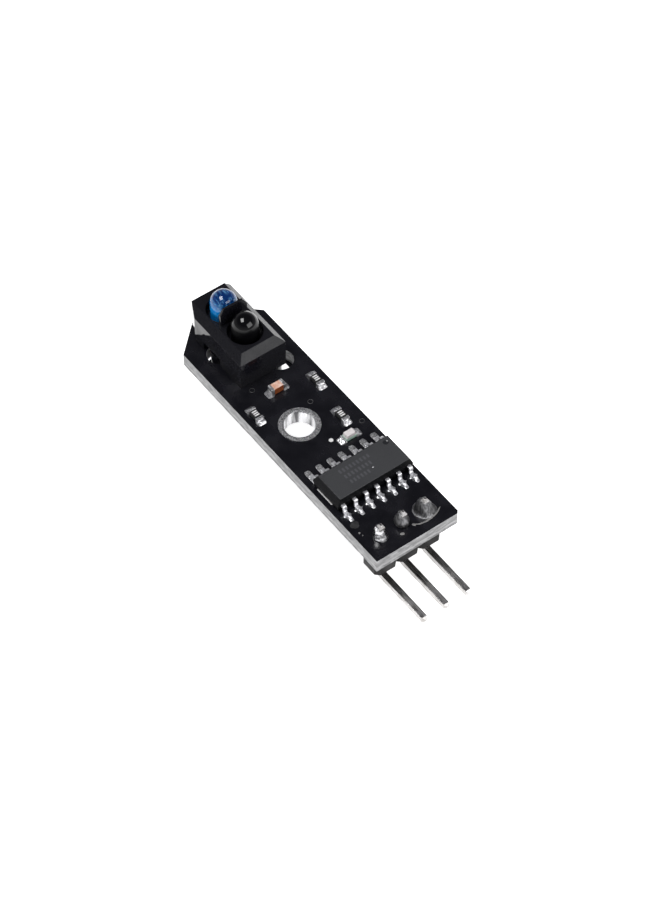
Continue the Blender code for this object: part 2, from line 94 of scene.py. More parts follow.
# Optical cells
DOME_RADIUS = 1.33 * MM
CELL_FOOT = 1.0 * MM  # from the cell's underside up to where its round body is full
EMITTER_SEAT = 2.0 * MM  # from the dome's top down to the cup's seat
EMITTER_DIE = ((-0.17, -0.17, 0.1), (0.17, 0.17, 0.28))  # millimetres from the seat
EMITTER_POST = ((-0.16, 0.92, -0.4), (0.16, 1.1, 0.4))

# Width of the ring round the screw hole
EYELET_RING = 0.55 * MM

# Header pins and the solder round them
PIN_BEND_RADIUS = 0.62 * MM
PIN_TIP_LENGTH = 0.28 * MM
PIN_TOP_LENGTH = 0.3 * MM
SOLDER_LEAN = (-0.12 * MM, -0.14 * MM)  # how far the joints lean by their tops

# Printed marks and vias, from the board's middle: (x, y)
INK_THICKNESS = 0.015 * MM
CHIP_BAR = ((4.5 * MM, -4.11 * MM), (6.6 * MM, -4.11 * MM), 0.16 * MM)
CHIP_BAR_SHORT = ((3.5 * MM, -3.96 * MM), (3.95 * MM, -3.96 * MM), 0.13 * MM)
POLARITY_DOT = ((0.53 * MM, 0.34 * MM), 0.22 * MM)
VIAS = ((-4.38 * MM, 1.56 * MM), (0.4 * MM, 4.05 * MM), (-8.75 * MM, -2.05 * MM))
VIA_RADIUS = 0.29 * MM
VIA_HOLE = 0.21 * MM

# Left by hand soldering, in millimetres: points along each bead, its width and its height
FLUX_BEADS = (
    (((12.75, 3.75), (13.12, 3.1), (13.3, 2.4), (13.34, 1.65), (13.22, 1.0), (12.95, 0.55)), 0.16, 0.03),
    (((12.9, 0.62), (13.05, 0.42)), 0.32, 0.04),
    (((13.1, -1.17), (13.25, -0.77)), 0.3, 0.05),
    (((10.7, -4.12), (10.85, -4.0)), 0.26, 0.08),
    (((11.15, -4.02), (11.2, -3.95)), 0.16, 0.03),
)
SCUFF_MARK = (((9.4, -3.9), (10.2, -3.8)), 0.85, 0.008)  # mask dulled beside the chip

# Spread end of a locating peg under the board, in millimetres: middle X, middle Y and radius
CLIP_BARB = (-14.275, -1.93, 1.12)

# Copper runs under the mask on the board's underside, as corner points in millimetres
UNDER_TRACES = (
    ((-14.1, -1.4), (-11.5, -3.6), (6.0, -3.6), (12.1, -2.74)),
    ((-14.1, 1.1), (-11.8, 3.4), (7.0, 3.4), (12.1, 2.34)),
    ((-9.1, -1.4), (-6.6, -2.4), (-3.2, -2.4), (8.0, -1.2), (12.1, -0.2)),
    ((-9.1, 1.1), (-6.0, 1.9), (2.4, 1.9), (4.4, 0.4)),
)
TRACE_WIDTH = 0.45 * MM
TRACE_HEIGHT = 0.03 * MM


# ---------------------------------------------------------------- materials

class Look:
    """A Principled material under construction, with short calls for the nodes looks share."""

    def __init__(self, name, colour, roughness, metallic=0.0, **uniform):
        self.material = bpy.data.materials.new(name)
        self.material.use_nodes = True
        self.nodes = self.material.node_tree.nodes
        self.links = self.material.node_tree.links
        self.shader = self.nodes["Principled BSDF"]
        self.shader.inputs["Base Color"].default_value = (*colour, 1.0)
        self.shader.inputs["Roughness"].default_value = roughness
        self.shader.inputs["Metallic"].default_value = metallic
        for socket, value in uniform.items():
            self.shader.inputs[socket.replace("_", " ")].default_value = value
        self.position = self.nodes.new("ShaderNodeTexCoord").outputs["Object"]
        self.normal = None

    def noise(self, size, detail=3.0, stretch=(1.0, 1.0, 1.0), kind="ShaderNodeTexNoise"):
        """Noise whose features are about size across, drawn out along an axis by stretch."""
        mapping = self.nodes.new("ShaderNodeMapping")
        mapping.inputs["Scale"].default_value = [1.0 / (size * s) for s in stretch]
        self.links.new(self.position, mapping.inputs["Vector"])
        texture = self.nodes.new(kind)
        texture.inputs["Scale"].default_value = 1.0
        if kind == "ShaderNodeTexNoise":
            texture.inputs["Detail"].default_value = detail
        self.links.new(mapping.outputs["Vector"], texture.inputs["Vector"])
        return texture.outputs[0]

    def remap(self, value, low, high, start=0.35, end=0.65):
        """A value's middle range spread from low to high."""
        node = self.nodes.new("ShaderNodeMapRange")
        for socket, number in (("From Min", start), ("From Max", end), ("To Min", low), ("To Max", high)):
            node.inputs[socket].default_value = number
        self.links.new(value, node.inputs["Value"])
        return node.outputs["Result"]

    def product(self, first, second):
        node = self.nodes.new("ShaderNodeMath")
        node.operation = "MULTIPLY"
        self.links.new(first, node.inputs[0])
        self.links.new(second, node.inputs[1])
        return node.outputs[0]

    def blend(self, factor, first, second):
        """Two colours, or an output and a colour, mixed by a factor."""
        node = self.nodes.new("ShaderNodeMix")
        node.data_type = "RGBA"
        self.links.new(factor, node.inputs["Factor"])
        for socket, value in (("A", first), ("B", second)):
            target = next(s for s in node.inputs if s.name == socket and s.type == "RGBA")
            if isinstance(value, tuple):
                target.default_value = (*value, 1.0)
            else:
                self.links.new(value, target)
        return next(s for s in node.outputs if s.type == "RGBA")

    def level(self, low, high, stops):
        """Grey tones at fractions of the way up between two heights."""
        split = self.nodes.new("ShaderNodeSeparateXYZ")
        self.links.new(self.position, split.inputs[0])
        ramp = self.nodes.new("ShaderNodeValToRGB")
        while len(ramp.color_ramp.elements) < len(stops):
            ramp.color_ramp.elements.new(0.5)
        for element, (place, tone) in zip(ramp.color_ramp.elements, stops):
            element.position = place
            element.color = (tone, tone, tone, 1.0)
        self.links.new(self.remap(split.outputs["Z"], 0.0, 1.0, low, high), ramp.inputs["Fac"])
        return ramp.outputs["Color"]

    def colour(self, output):
        self.links.new(output, self.shader.inputs["Base Color"])
        return self

    def rough(self, output):
        self.links.new(output, self.shader.inputs["Roughness"])
        return self

    def bump(self, height, depth):
        """Relief of that depth, in metres; several calls add up."""
        node = self.nodes.new("ShaderNodeBump")
        node.inputs["Strength"].default_value = 1.0
        node.inputs["Distance"].default_value = depth
        self.links.new(height, node.inputs["Height"])
        if self.normal is not None:
            self.links.new(self.normal, node.inputs["Normal"])
        self.normal = node.outputs["Normal"]
        self.links.new(self.normal, self.shader.inputs["Normal"])
        return self


def solder_mask():
    """Glossy black lacquer, faintly uneven over the copper, with a little dust haze."""
    look = Look("black_solder_mask", (0.004, 0.004, 0.006), 0.12, IOR=1.5)
    clouds = look.noise(2.2 * MM, 4.0)
    specks = look.noise(0.09 * MM, 2.0)
    look.colour(look.blend(look.remap(clouds, 0.0, 1.0), (0.003, 0.003, 0.005), (0.006, 0.006, 0.009)))
    look.rough(look.remap(clouds, 0.2, 0.3))
    look.bump(clouds, 0.008 * MM).bump(specks, 0.0006 * MM)
    return look.material


def board_core():
    """Glass-epoxy laminate: a pale resin-rich layer, darker cloth, and a routed roughness."""
    look = Look("fr4_edge", (0.45, 0.45, 0.45), 0.55)
    stops = ((0.0, 0.15), (0.2, 0.17), (0.27, 0.44), (0.38, 0.38), (0.46, 0.22), (0.85, 0.26), (1.0, 0.34))
    layers = look.noise(0.1 * MM, 3.0, (9.0, 9.0, 1.0))
    grain = look.noise(0.05 * MM, 3.0)
    blotches = look.noise(0.7 * MM, 3.0, (1.0, 1.0, 0.4))
    cloth = look.remap(layers, 0.0, 0.75, 0.4, 0.65)
    tone = look.blend(cloth, look.level(BOTTOM, TOP, stops), (0.14, 0.14, 0.145))
    look.colour(look.blend(look.remap(blotches, 0.0, 0.6, 0.45, 0.62), tone, (0.46, 0.46, 0.47)))
    look.rough(look.remap(grain, 0.4, 0.7))
    look.bump(grain, 0.01 * MM).bump(layers, 0.012 * MM)
    return look.material


def solder(name, tone, low, high, ripple, mottle=0.35 * MM, shade=0.62, stretch=(1.0, 1.0, 1.0)):
    """Tin alloy that has flowed and set: bright, with soft ripples and dull flux patches."""
    look = Look(name, (tone, tone, tone * 1.02), 0.25, 1.0)
    patches = look.noise(mottle, 3.0, stretch)
    grain = look.noise(0.05 * MM, 3.0)
    dark = (tone * shade, tone * shade, tone * shade * 1.04)
    look.colour(look.blend(look.remap(patches, 0.0, 1.0, 0.38, 0.62), (tone, tone, tone * 1.02), dark))
    look.rough(look.remap(look.product(patches, grain), low, high, 0.12, 0.4))
    look.bump(patches, ripple).bump(grain, ripple * 0.12)
    return look.material


def pin_metal():
    """Tinned square wire: drawn lines along it, duller and browner in patches."""
    look = Look("tinned_pin", (0.5, 0.49, 0.48), 0.3, 1.0)
    lines = look.noise(0.03 * MM, 3.0, (30.0, 1.0, 1.0))
    patches = look.noise(0.8 * MM, 4.0)
    tone = look.blend(look.remap(patches, 0.0, 1.0), (0.56, 0.55, 0.55), (0.33, 0.315, 0.3))
    look.colour(look.blend(look.remap(lines, 0.0, 0.5), tone, (0.62, 0.61, 0.6)))
    look.rough(look.remap(lines, 0.2, 0.42))
    look.bump(lines, 0.003 * MM).bump(patches, 0.01 * MM)
    return look.material


def moulded_plastic(name, dark, light, low, high, grain_size, grain_depth, gloss=0.5):
    """Moulded plastic: an even colour with a fine skin and slow changes of sheen."""
    look = Look(name, dark, low, IOR=1.5, Specular_IOR_Level=gloss)
    skin = look.noise(grain_size, 4.0)
    drift = look.noise(1.6 * MM, 3.0)
    look.colour(look.blend(look.remap(skin, 0.0, 1.0), dark, light))
    look.rough(look.remap(drift, low, high))
    look.bump(skin, grain_depth).bump(drift, 0.004 * MM)
    return look.material


def clear_resin(name, colour, roughness, transmission):
    """Cast epoxy with faint flow lines."""
    look = Look(name, colour, roughness, IOR=1.54, Transmission_Weight=transmission)
    flow = look.noise(0.7 * MM, 2.0, (1.0, 1.0, 2.5))
    look.rough(look.remap(flow, roughness, roughness + 0.05))
    look.bump(flow, 0.004 * MM)
    return look.material


def dark_epoxy():
    """Black epoxy: a polished dome over a skirt that the mould left matt."""
    look = Look("dark_resin", (0.0015, 0.0015, 0.002), 0.03, IOR=1.5)
    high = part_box("receiver_cell")[1].z
    skirt, polished = high - 1.15 * MM, high - 0.7 * MM
    flow = look.noise(0.7 * MM, 2.0, (1.0, 1.0, 2.5))
    gloss = look.level(skirt, polished, ((0.0, 0.04), (1.0, 0.42)))
    look.links.new(gloss, look.shader.inputs["Specular IOR Level"])
    look.rough(look.level(skirt, polished, ((0.0, 0.5), (1.0, 0.04))))
    look.bump(flow, 0.004 * MM)
    return look.material


def ceramic(name, pale, deep, roughness):
    """Fired ceramic, slightly grainy."""
    look = Look(name, pale, roughness)
    grain = look.noise(0.06 * MM, 4.0)
    drift = look.noise(0.45 * MM, 2.0)
    look.colour(look.blend(look.remap(drift, 0.0, 1.0, 0.3, 0.7), pale, deep))
    look.rough(look.remap(grain, roughness - 0.1, roughness + 0.12))
    look.bump(grain, 0.004 * MM)
    return look.material


def ink():
    """White screen print, with the mesh's slight unevenness."""
    look = Look("white_print", (0.8, 0.8, 0.79), 0.55)
    weave = look.noise(0.05 * MM, 2.0)
    look.colour(look.blend(look.remap(weave, 0.0, 1.0), (0.86, 0.86, 0.85), (0.66, 0.66, 0.66)))
    look.bump(weave, 0.004 * MM)
    return look.material


def blue_epoxy():
    """Clear blue epoxy with painted light: a painted glow makes it lighter azure lower down, which shows on
    its -Y side, and it stays deep blue on top.
    """
    look = Look("blue_epoxy", (0.02, 0.42, 0.9), 0.03, IOR=1.54, Transmission_Weight=0.45)
    low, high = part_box("emitter_cell")
    # painted glow: the colour goes from lighter azure low down to deep blue near the top
    painted_glow = look.level(high.z - 1.45 * MM, high.z - 0.45 * MM, ((0.0, 0.0), (1.0, 1.0)))
    streaks = look.noise(0.3 * MM, 4.0, (2.6, 0.6, 1.0))
    deep = look.blend(painted_glow, (0.0, 0.36, 1.0), (0.0, 0.035, 0.19))
    # pale streaks are painted highlights of the parts inside; the same noise also varies the roughness
    look.colour(look.blend(look.remap(streaks, 0.0, 0.6, 0.5, 0.7), deep, (0.22, 0.6, 1.0)))
    look.rough(look.remap(streaks, 0.02, 0.08))
    look.bump(look.noise(0.7 * MM, 2.0), 0.006 * MM)
    return look.material


MASK = solder_mask()
CORE = board_core()
BRIGHT_SOLDER = solder("bright_solder", 0.95, 0.26, 0.55, 0.04 * MM, 0.25 * MM, 0.7)
CONE_SOLDER = solder("cone_solder", 0.85, 0.12, 0.34, 0.03 * MM, 0.5 * MM, 0.3)
DULL_SOLDER = solder("dull_solder", 0.3, 0.34, 0.5, 0.06 * MM, 0.2 * MM, 0.4, (1.0, 1.0, 3.0))
PART_SOLDER = solder("part_solder", 0.95, 0.14, 0.5, 0.06 * MM, 0.25 * MM, 0.4)
CAP_PLATE = solder("cap_plate", 0.9, 0.2, 0.5, 0.05 * MM, 0.15 * MM, 0.3)
# solder for the chip's far-row pads: a darker tone than the near row, which is painted shade
SHADED_PAD_SOLDER = solder("pad_solder_painted_shade", 0.5, 0.45, 0.62, 0.05 * MM, 0.13 * MM, 0.35)
TIN_PLATE = solder("tin_plate", 0.95, 0.3, 0.5, 0.02 * MM, 0.2 * MM, 0.7)
RING_SOLDER = solder("ring_solder", 0.5, 0.36, 0.6, 0.06 * MM, 0.11 * MM, 0.3)
# barrel walls: a brighter solder tone with bands drawn out upright, a painted reflection
BARREL_PAINTED_REFLECTION = solder("barrel_painted_reflection", 0.92, 0.2, 0.4, 0.02 * MM, 0.8 * MM, 0.15, (1.0, 1.0, 6.0))
PIN_METAL = pin_metal()
SENSOR_PLASTIC = moulded_plastic(
    "sensor_plastic", (0.005, 0.005, 0.007), (0.008, 0.008, 0.011), 0.05, 0.1, 0.08 * MM, 0.0003 * MM)
SENSOR_TOP_SKIN = moulded_plastic(
    "sensor_top_skin", (0.006, 0.006, 0.008), (0.012, 0.012, 0.015), 0.18, 0.27, 0.06 * MM, 0.012 * MM,
    0.26)
HEADER_PLASTIC = moulded_plastic(
    "header_plastic", (0.012, 0.0115, 0.0115), (0.018, 0.017, 0.017), 0.35, 0.5, 0.05 * MM, 0.006 * MM, 0.1)
CHIP_PLASTIC = moulded_plastic(
    "chip_plastic", (0.022, 0.023, 0.026), (0.04, 0.041, 0.045), 0.5, 0.66, 0.05 * MM, 0.01 * MM)
# the chip's side faces: a darker copy of the moulding, which is painted shade; the lower roughness is their
# glossier finish
CHIP_SIDE_SHADED = moulded_plastic(
    "chip_side_painted_shade", (0.004, 0.004, 0.005), (0.008, 0.008, 0.009), 0.25, 0.4, 0.06 * MM, 0.004 * MM, 0.04)
CHIP_POLISH = moulded_plastic(
    "chip_polish", (0.014, 0.015, 0.017), (0.024, 0.025, 0.028), 0.12, 0.2, 0.06 * MM, 0.001 * MM)
CHIP_MARK = moulded_plastic(
    "chip_mark", (0.045, 0.046, 0.052), (0.075, 0.076, 0.085), 0.6, 0.75, 0.03 * MM, 0.008 * MM)
BLUE_RESIN = blue_epoxy()
DARK_RESIN = dark_epoxy()
LENS_RESIN = clear_resin("lens_resin", (0.97, 0.92, 0.92), 0.16, 0.3)
FLUX = clear_resin("flux_residue", (0.26, 0.255, 0.25), 0.3, 0.2)
SCUFF = ceramic("scuffed_mask", (0.03, 0.03, 0.032), (0.004, 0.004, 0.005), 0.5)
BLACK_GLAZE = ceramic("black_glaze", (0.012, 0.012, 0.013), (0.02, 0.02, 0.021), 0.32)
TAN_CERAMIC = ceramic("tan_ceramic", (0.3, 0.08, 0.018), (0.2, 0.045, 0.01), 0.42)
# the capacitor's top: a lighter copy of the tan ceramic, which is painted light, with whitish patches that
# are a painted sheen
TAN_CERAMIC_LIT_TOP = ceramic("tan_ceramic_painted_light", (0.6, 0.25, 0.13), (0.85, 0.66, 0.58), 0.4)
GREEN_LAMINATE = ceramic("green_laminate", (0.42, 0.62, 0.5), (0.5, 0.68, 0.58), 0.5)
INK = ink()


# ---------------------------------------------------------------- mesh helpers

def second_look(bm, chosen):
    """Give the faces whose normal is chosen the second of a piece's looks."""
    bmesh.ops.recalc_face_normals(bm, faces=bm.faces[:])
    bm.normal_update()
    for face in bm.faces:
        face.material_index = 1 if chosen(face.normal) else 0
    return bm


def round_long_edges(bm, shortest):
    """Mark the corners longer than that for a weighted bevel."""
    weight = bm.edges.layers.float.new("bevel_weight_edge")
    for edge in bm.edges:
        turned_edge = edge.calc_face_angle(0.0) > SMOOTH_ANGLE / 2
        edge[weight] = 1.0 if turned_edge and edge.calc_length() > shortest else 0.0
    return bm


def add_piece(name, bm, looks, stands_for=(), bevel=0.0, segments=2, smooth=SMOOTH_ANGLE):
    """Make the mesh an object that rides on the frame, with rounded edges if a bevel is given."""
    mesh = bpy.data.meshes.new(name)
    weighted = "bevel_weight_edge" in bm.edges.layers.float
    bmesh.ops.recalc_face_normals(bm, faces=bm.faces[:])
    bm.to_mesh(mesh)
    bm.free()
    mesh.shade_smooth()
    mesh.set_sharp_from_angle(angle=smooth)
    for look in looks:
        mesh.materials.append(look)
    made = bpy.data.objects.new(name, mesh)
    bpy.context.scene.collection.objects.link(made)
    if bevel:
        edge = made.modifiers.new("rounded_edges", "BEVEL")
        edge.width = bevel
        edge.segments = segments
        edge.limit_method = "WEIGHT" if weighted else "ANGLE"
        edge.angle_limit = math.radians(30)
        edge.harden_normals = True
    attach(made, "root")
    if stands_for:
        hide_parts(*stands_for)
    return made


def cad_copy(node):
    """A CAD node's shape as clean planar faces."""
    bm = bmesh.new()
    bm.from_mesh(NODES[node].data)
    bmesh.ops.remove_doubles(bm, verts=bm.verts[:], dist=1e-7)
    bmesh.ops.dissolve_limit(bm, angle_limit=math.radians(0.5), verts=bm.verts[:], edges=bm.edges[:])
    return bm


def add_loft(bm, rings):
    """Skin through rings of the same number of points, closed by a cap at each end."""
    made = [[bm.verts.new(point) for point in ring] for ring in rings]
    count = len(made[0])
    for lower, upper in zip(made, made[1:]):
        for i in range(count):
            j = (i + 1) % count
            bm.faces.new((lower[i], lower[j], upper[j], upper[i]))
    bm.faces.new(made[0][::-1])
    bm.faces.new(made[-1])


def loft(rings):
    bm = bmesh.new()
    add_loft(bm, rings)
    return bm


def block(low, high):
    corners = ((low[0], low[1]), (high[0], low[1]), (high[0], high[1]), (low[0], high[1]))
    return loft([[(x, y, z) for x, y in corners] for z in (low[2], high[2])])


def offset_block(origin, corners):
    """A block between two corners given in millimetres from a point."""
    low, high = ([start + step * MM for start, step in zip(origin, corner)] for corner in corners)
    return block(low, high)


def placed(bm, matrix):
    bmesh.ops.transform(bm, matrix=matrix, verts=bm.verts[:])
    return bm


def turned(profile, centre, sides=FINE, wobble=None):
    """Turn (radius, height) points about an upright axis; wobble(angle, r, z) moves each radius."""
    bm = bmesh.new()
    rings = []
    for i in range(sides):
        angle = 2 * math.pi * i / sides
        ring = []
        for radius, height in profile:
            reach = radius + (wobble(angle, radius, height) if wobble and radius > 0 else 0.0)
            ring.append(bm.verts.new((centre[0] + reach * math.cos(angle),
                                      centre[1] + reach * math.sin(angle), centre[2] + height)))
        rings.append(ring)
    for i in range(sides):
        here, following = rings[i], rings[(i + 1) % sides]
        for a in range(len(profile) - 1):
            bm.faces.new((here[a], following[a], following[a + 1], here[a + 1]))
    bmesh.ops.remove_doubles(bm, verts=bm.verts[:], dist=1e-8)
    return bm


def arc(centre, radius, start, end, steps):
    """Points along an arc, angles in degrees."""
    turns = (math.radians(start + (end - start) * i / steps) for i in range(steps + 1))
    return [(centre[0] + radius * math.cos(a), centre[1] + radius * math.sin(a)) for a in turns]


def bar(path, width, thickness, scales=None):
    """A rectangular bar along (x, z) points, its width across Y; scales narrows single points."""
    rings = []
    last = len(path) - 1
    for i, point in enumerate(path):
        here = Vector(point)
        ahead = (Vector(path[min(i + 1, last)]) - here).normalized() if i < last else None
        behind = (here - Vector(path[i - 1])).normalized() if i > 0 else ahead
        ahead = ahead or behind
        tangent = (ahead + behind).normalized()
        mitre = 1.0 / max(tangent.dot(ahead), 0.5)
        scale = (scales or {}).get(i, 1.0)
        across = Vector((-tangent.y, tangent.x)) * thickness / 2 * mitre * scale
        side = width / 2 * scale
        corners = ((across, -side), (-across, -side), (-across, side), (across, side))
        rings.append([(here.x + off.x, y, here.y + off.y) for off, y in corners])
    return loft(rings)


def heightfield(length, width, height, flare=None, across=28, along=40):
    """A solder mound on a rounded pad from X 0 to length; flare widens it at points along it."""
    bm = bmesh.new()
    grid = []
    corner = 0.16  # how far the pad's corners are pulled in
    for i in range(along + 1):
        row = []
        for j in range(across + 1):
            u, v = 2 * i / along - 1, 2 * j / across - 1
            pull = 1 - corner * (abs(u) ** 4) * (abs(v) ** 4)
            x = length * (1 + u * pull) / 2
            y = width * v * pull / 2 * (flare(x) if flare else 1.0)
            rim = (1 - abs(u) ** 10) * (1 - abs(v) ** 10)
            row.append(bm.verts.new((x, y, PAD_THICKNESS * 0.3 + height(x, y) * rim)))
        grid.append(row)
    for i in range(along):
        for j in range(across):
            bm.faces.new((grid[i][j], grid[i + 1][j], grid[i + 1][j + 1], grid[i][j + 1]))
    rim = ([row[0] for row in grid] + grid[-1][1:] + [row[-1] for row in reversed(grid[:-1])]
           + grid[0][-2:0:-1])
    foot = [bm.verts.new((v.co.x, v.co.y, 0.0)) for v in rim]
    for i in range(len(rim)):
        j = (i + 1) % len(rim)
        bm.faces.new((rim[j], rim[i], foot[i], foot[j]))
    bm.faces.new(foot)
    return bm


def ripple(place, size, amount):
    """A small even change of height or radius, the same at the same place on each run."""
    return amount * noise.noise(Vector(place) / size)


def centre_of(node):
    low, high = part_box(node)
    return (low + high) / 2


# ---------------------------------------------------------------- board

def board():
    bm = second_look(cad_copy("circuit_board"), lambda normal: abs(normal.z) < 0.9)
    add_piece("board_laminate", bm, (MASK, CORE), ("circuit_board",), 0.02 * MM, 2)


def eyelet():
    """The screw hole's plating: a wavy ring of levelled solder, rolled into a barrel painted brighter than
    the ring, with upright bands that are a painted reflection.
    """
    low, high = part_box("screw_hole_eyelet")
    middle = (low + high) / 2
    outer = (high.x - low.x) / 2
    bore = outer - EYELET_RING
    flat = high.z - middle.z
    face = TOP - middle.z
    lip = 0.1 * MM
    crest = arc((outer - 0.1 * MM, flat - 0.03 * MM), 0.1 * MM, 0, 90, 5)
    crest = [(radius, min(height, flat)) for radius, height in crest]
    crest += [(outer - 0.2 * MM, flat + 0.006 * MM), (bore + 0.25 * MM, flat + 0.01 * MM)]
    crest += arc((bore + lip, flat - lip), lip, 90, 180, 6)
    upper = [(outer - 0.01 * MM, face)] + crest
    lower = [(radius, -height) for radius, height in reversed(upper)]
    inside = [(bore + 0.05 * MM, -face), (bore + 0.05 * MM, face)]

    def wobble(angle, radius, height):
        around = (math.cos(angle) * radius, math.sin(angle) * radius, height)
        return ripple(around, 0.4 * MM, 0.02 * MM) if abs(height) > face * 0.9 else 0.0

    bm = turned(upper + lower + inside + upper[:1], middle, FINE, wobble)
    # the upright faces take the barrel's painted reflection
    second_look(bm, lambda normal: abs(normal.z) < 0.75)
    add_piece("screw_hole_plating", bm, (RING_SOLDER, BARREL_PAINTED_REFLECTION), ("screw_hole_eyelet",))


def via(number, place):
    """The low ring of a filled via under the mask, on both faces."""
    profile = ((VIA_RADIUS, 0.0), (VIA_RADIUS - 0.03 * MM, 0.022 * MM),
               (VIA_HOLE + 0.03 * MM, 0.022 * MM), (VIA_HOLE, 0.0), (VIA_RADIUS, 0.0))
    for side, z, flip in (("top", TOP, 1), ("under", BOTTOM, -1)):
        ring = turned([(radius, height * flip) for radius, height in profile], (*place, z), 40)
        add_piece(f"via_{number}_{side}", ring, (SCUFF,))


def stadium(start, end, width, z, thickness, steps=8):
    """A flat bar with round ends between two points."""
    a, b = Vector(start), Vector(end)
    turn = math.degrees(math.atan2(b.y - a.y, b.x - a.x))
    outline = arc(b, width / 2, turn - 90, turn + 90, steps)
    outline += arc(a, width / 2, turn + 90, turn + 270, steps)
    return loft([[(x, y, level) for x, y in outline] for level in (z, z + thickness)])


def bead(points, width, height):
    """A low rounded bead along points on the board's top, tapering at both ends."""
    bm = bmesh.new()
    count = len(points) * 6
    rings = []
    for i in range(count + 1):
        share = i / count
        spot = share * (len(points) - 1)
        index = min(int(spot), len(points) - 2)
        start, end = Vector(points[index]), Vector(points[index + 1])
        here = start.lerp(end, spot - index)
        across = Vector((start.y - end.y, end.x - start.x)).normalized()
        swell = math.sqrt(max(1 - (2 * share - 1) ** 4, 0.02))
        swell *= 1 + ripple((here.x * MM, here.y * MM, 0.0), 0.3 * MM, 0.35)
        half = width / 2 * swell
        ring = []
        for j in range(9):
            angle = math.pi * j / 8
            side = here + across * half * math.cos(angle)
            ring.append((side.x * MM, side.y * MM, TOP + height * swell * MM * math.sin(angle)))
        rings.append(ring)
    add_loft(bm, rings)
    return bm


def flux():
    """Hand-soldering traces: flux beads, a splash, and the mask dulled beside the chip."""
    add_piece("scuff", bead(*SCUFF_MARK), (SCUFF,))
    for number, (points, width, height) in enumerate(FLUX_BEADS, 1):
        add_piece(f"flux_{number}", bead(points, width, height), (FLUX,))


def under_traces():
    """Copper runs that stand slightly proud under the mask."""
    flat = Matrix.Translation((0, 0, BOTTOM)) @ Matrix.Rotation(-math.pi / 2, 4, "X")
    for number, corners in enumerate(UNDER_TRACES, 1):
        path = [(x * MM, y * MM) for x, y in corners]
        run = placed(bar(path, 2 * TRACE_HEIGHT, TRACE_WIDTH), flat)
        add_piece(f"under_trace_{number}", run, (MASK,), bevel=0.01 * MM)


def printed_marks():
    for name, (start, end, width) in (("print_bar", CHIP_BAR), ("print_bar_short", CHIP_BAR_SHORT)):
        add_piece(name, stadium(start, end, width, TOP, INK_THICKNESS), (INK,))
    (x, y), radius = POLARITY_DOT
    dot = turned([(radius, 0.0), (radius - 0.01 * MM, INK_THICKNESS), (0.0, INK_THICKNESS)], (x, y, TOP), 40)
    add_piece("print_dot", dot, (INK,))


# ---------------------------------------------------------------- sensor

def sensor_housing():
    bm = second_look(cad_copy("sensor_housing"), lambda normal: normal.z > 0.5)
    add_piece("sensor_shell", bm, (SENSOR_PLASTIC, SENSOR_TOP_SKIN), ("sensor_housing",),
              0.025 * MM, 2)
    x, y, radius = (value * MM for value in CLIP_BARB)
    profile = [(0.0, 0.0), (radius, 0.0), (radius, -0.12 * MM), (radius * 0.7, -0.5 * MM), (0.0, -0.5 * MM)]
    barb = turned(profile, (x, y, BOTTOM - 0.03 * MM), 48)
    add_piece("sensor_clip_barb", barb, (SENSOR_PLASTIC,), bevel=0.04 * MM)


def optical_cell(name, node, look):
    """A domed round body on its square foot."""
    low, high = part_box(node)
    middle = (low + high) / 2
    foot_top = low.z + CELL_FOOT
    dome_z = high.z - DOME_RADIUS
    profile = [(0.0, foot_top - 0.2 * MM), (DOME_RADIUS, foot_top - 0.2 * MM)]
    profile += arc((0.0, dome_z), DOME_RADIUS, 0, 90, 28)
    body = turned(profile, (middle.x, middle.y, 0.0))
    add_piece(name, body, (look,), (node,))
    foot = block(low, (high.x, high.y, foot_top - 0.25 * MM))
    add_piece(name + "_foot", foot, (look,), bevel=0.08 * MM)


def emitter_inside():
    """The cup, die and post seen through the blue resin."""
    low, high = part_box("emitter_cell")
    x, y = (low.x + high.x) / 2, (low.y + high.y) / 2
    seat = high.z - EMITTER_SEAT
    cup = [(0.0, 0.1 * MM), (0.4 * MM, 0.1 * MM), (0.78 * MM, 0.5 * MM), (0.88 * MM, 0.5 * MM),
           (0.88 * MM, -0.3 * MM), (0.0, -0.3 * MM)]
    add_piece("emitter_cup", turned(cup, (x, y, seat), 48), (TIN_PLATE,))
    die = offset_block((x, y, seat), EMITTER_DIE)
    add_piece("emitter_die", die, (DULL_SOLDER,), bevel=0.01 * MM)
    post = offset_block((x, y, seat), EMITTER_POST)
    add_piece("emitter_post", post, (TIN_PLATE,), bevel=0.03 * MM)


def sensor_leads():
    for node in sorted(n for n in NODES if n.startswith(("emitter_lead", "receiver_lead"))):
        low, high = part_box(node)
        add_piece(node + "_wire", block(low, high), (PIN_METAL,), (node,), 0.06 * MM, 3)
    for node in sorted(n for n in NODES if n.startswith("sensor_solder")):
        low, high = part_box(node)
        middle = (low + high) / 2
        radius, height = (high.x - low.x) / 2, high.z - low.z
        profile = [(radius * 1.05, high.z - BOTTOM), (radius, -0.05 * MM)]
        for i in range(1, 11):
            rise = i / 10
            profile.append((0.3 * MM + (radius - 0.3 * MM) * (1 - rise) ** 1.7, -0.05 * MM - height * rise))
        profile.append((0.0, -0.1 * MM - height))

        def wobble(angle, r, z, seed=middle.x):
            return ripple((math.cos(angle) * MM, math.sin(angle) * MM, z + seed), 0.7 * MM, 0.07 * MM)

        joint = turned(profile, (middle.x, middle.y, BOTTOM), 48, wobble)
        add_piece(node + "_joint", joint, (BRIGHT_SOLDER,), (node,))


# ---------------------------------------------------------------- chip

